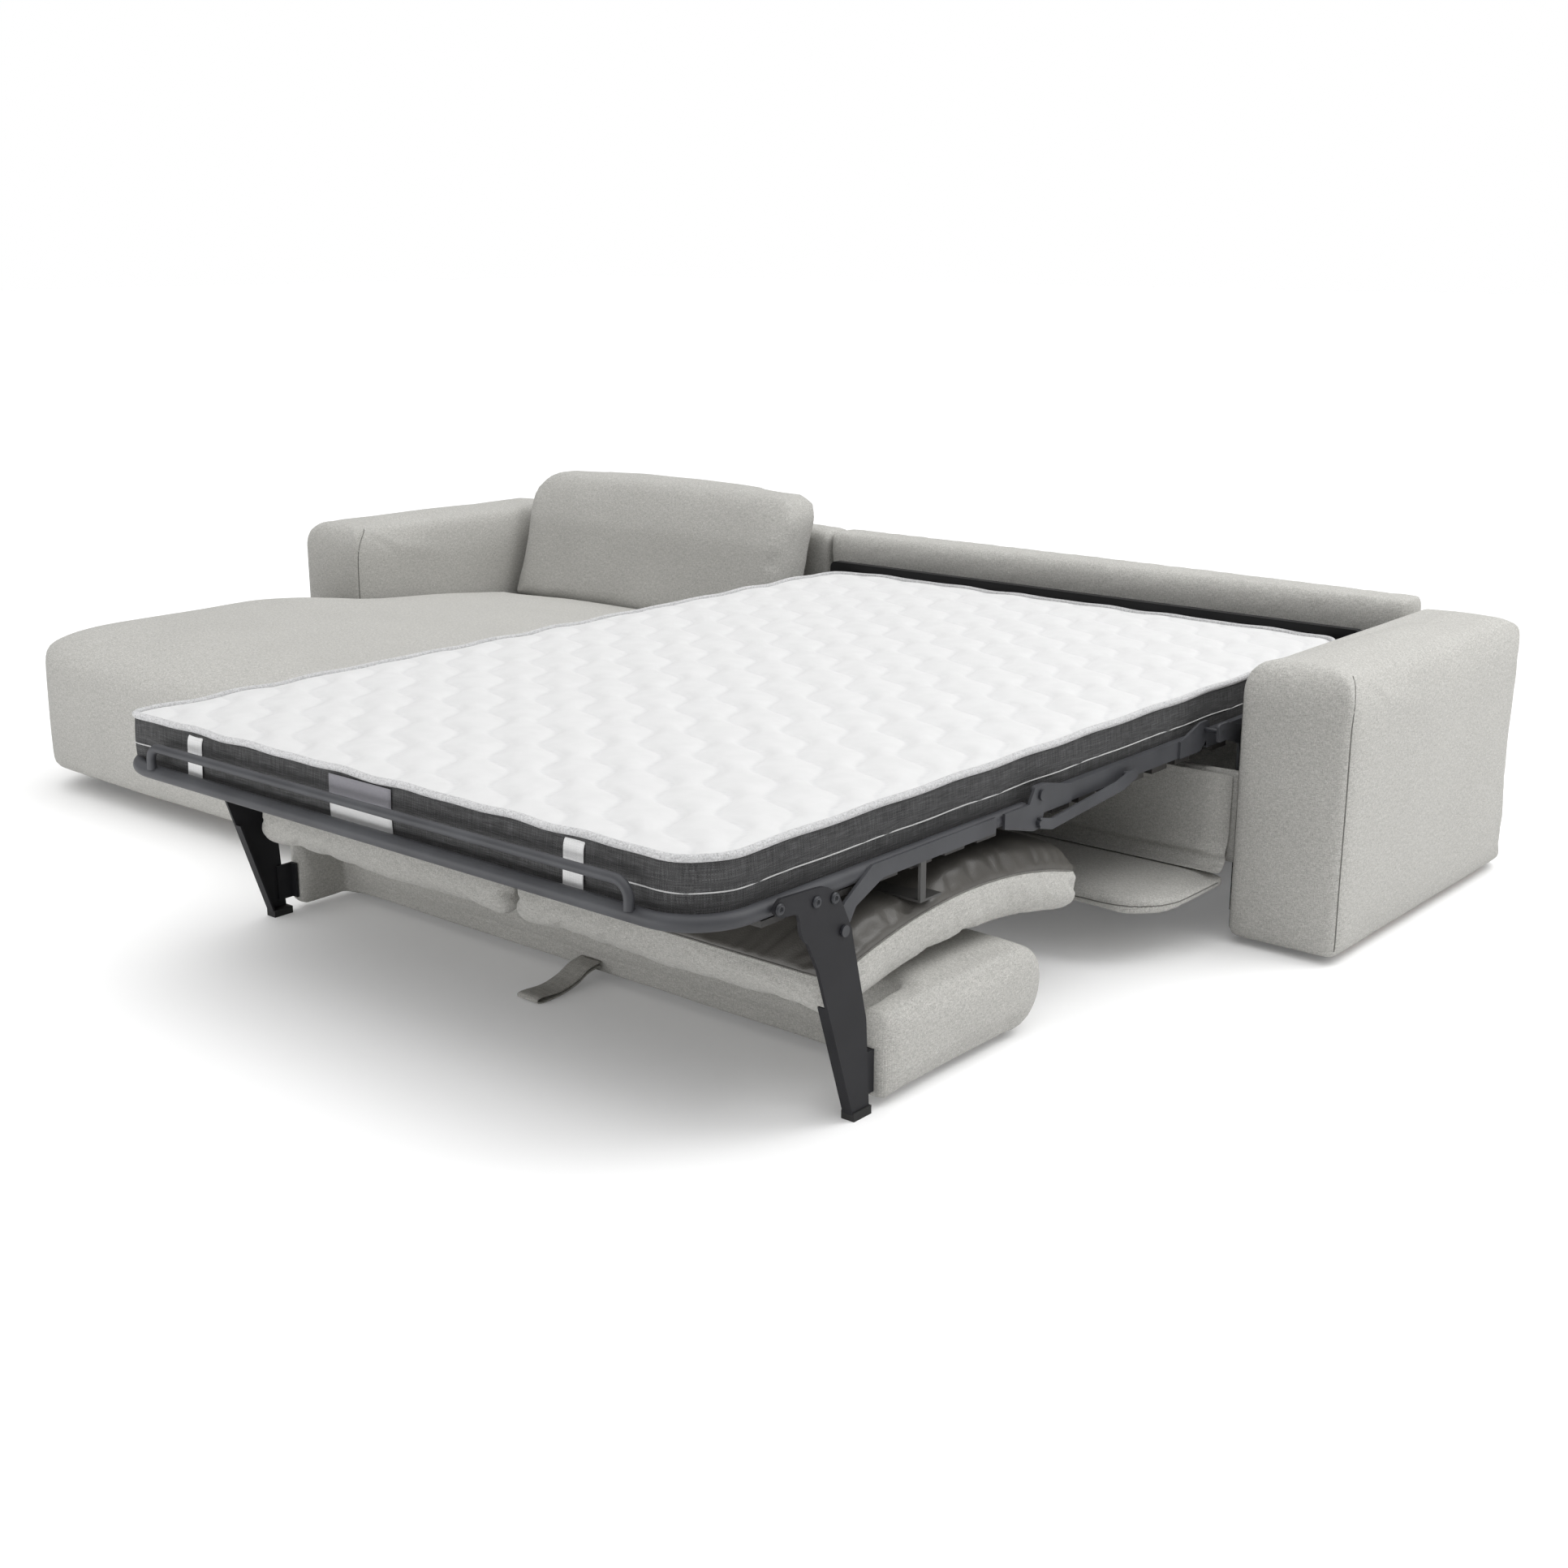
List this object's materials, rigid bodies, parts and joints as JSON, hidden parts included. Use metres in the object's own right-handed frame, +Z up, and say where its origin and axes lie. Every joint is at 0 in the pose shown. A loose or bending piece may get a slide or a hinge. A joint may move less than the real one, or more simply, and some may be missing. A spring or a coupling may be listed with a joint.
{
  "type": "corner sofa bed",
  "caption": "Corner sofa with a long chaise and low rounded arms, shown with its fold-out double bed, mattress, seat pads and backrest opened on steel legs.",
  "frame": {"origin": "on the floor, below the middle of the opened sofa bed's outline", "axes": "+X along the sofa's back towards the bed side, +Y towards the back, +Z up"},
  "size_m": [3.022, 2.2442, 0.6553],
  "materials": {
    "sofa_fabric": "light warm grey woven upholstery",
    "timber": "raw pine and plywood",
    "frame_steel": "satin charcoal powder coat",
    "pin_steel": "dark zinc plated",
    "slat_wood": "lacquered beech slat",
    "mattress_ticking": "white quilted ticking with a dark grey border",
    "white_elastic": "woven elastic band",
    "black_bar": "matt black",
    "dark_leatherette": "dark grey coated lining",
    "black_rubber": "matt",
    "glide_plastic": "matt black",
    "webbing": "woven webbing in the sofa's colour"
  },
  "bodies": {
    "sofa_base": {"left_arm_cover": "sofa_fabric", "left_arm_frame": "timber", "right_arm_cover": "sofa_fabric", "right_arm_frame": "timber", "chaise_seat": "sofa_fabric", "chaise_frame": "timber", "chaise_back_cushion": "sofa_fabric", "chaise_back_panel": "sofa_fabric", "chaise_back_board": "timber", "bed_back_panel": "sofa_fabric", "bed_back_board": "timber", "glides": "glide_plastic", "box_side_left": "timber", "box_side_right": "timber", "box_feet": "timber", "box_front_panel": "sofa_fabric", "pivot_plate_left": "frame_steel", "pivot_plate_right": "frame_steel", "rear_pivot_pins": "pin_steel", "head_rails": "frame_steel", "head_brackets": "frame_steel", "head_slats": "slat_wood", "head_bar": "black_bar", "flap_hangers": "frame_steel", "mattress_head": "mattress_ticking"},
    "mid_section": {"mid_rails": "frame_steel", "mid_slats": "slat_wood", "fold_lugs": "frame_steel", "rear_lugs": "frame_steel", "fold_pins": "pin_steel", "stop_arm_left": "frame_steel", "stop_arm_right": "frame_steel", "mattress_mid": "mattress_ticking"},
    "foot_section": {"foot_frame": "frame_steel", "foot_slats": "slat_wood", "stop_bar": "frame_steel", "elastic_straps": "white_elastic", "hinge_plates": "frame_steel", "stop_studs": "pin_steel", "leg_carrier_left": "frame_steel", "leg_carrier_right": "frame_steel", "leg_pins": "pin_steel", "pad_bar": "frame_steel", "seat_pad_left": "sofa_fabric", "seat_pad_right": "sofa_fabric", "pad_board_left": "dark_leatherette", "pad_board_right": "dark_leatherette", "mattress_foot": "mattress_ticking"},
    "legs_and_backrest": {"leg_left": "frame_steel", "leg_right": "frame_steel", "leg_caps": "black_rubber", "leg_rivets": "pin_steel", "backrest": "sofa_fabric", "backrest_board": "timber", "backrest_brackets": "frame_steel", "pull_strap": "webbing"},
    "front_flap": {"flap_rod": "pin_steel", "flap_leaves": "frame_steel", "flap_pad": "sofa_fabric"}
  },
  "joints": [
    {"name": "foot_fold", "type": "hinge", "parent": "mid_section", "child": "foot_section", "pos_m": [0.4975, -0.28915, 0.405], "axis": [-1, 0, 0], "range_deg": [0, 150], "deforming": ["mattress_foot", "mattress_mid"]},
    {"name": "mid_fold", "type": "hinge", "parent": "sofa_base", "child": "mid_section", "pos_m": [0.4975, 0.27485, 0.408], "axis": [-1, 0, 0], "range_deg": [0, 25], "deforming": ["mattress_mid", "mattress_head"]},
    {"name": "leg_fold", "type": "hinge", "parent": "foot_section", "child": "legs_and_backrest", "pos_m": [0.4975, -0.82115, 0.315], "axis": [-1, 0, 0], "range_deg": [0, 90]},
    {"name": "flap_swing", "type": "hinge", "parent": "sofa_base", "child": "front_flap", "pos_m": [0.4975, 0.30485, 0.142], "axis": [-1, 0, 0], "range_deg": [0, 48]}
  ],
  "couplings": [
    {"joint": "mid_fold", "follows": "foot_fold", "ratio": 0.1666},
    {"joint": "leg_fold", "follows": "foot_fold", "ratio": 0.6}
  ]
}
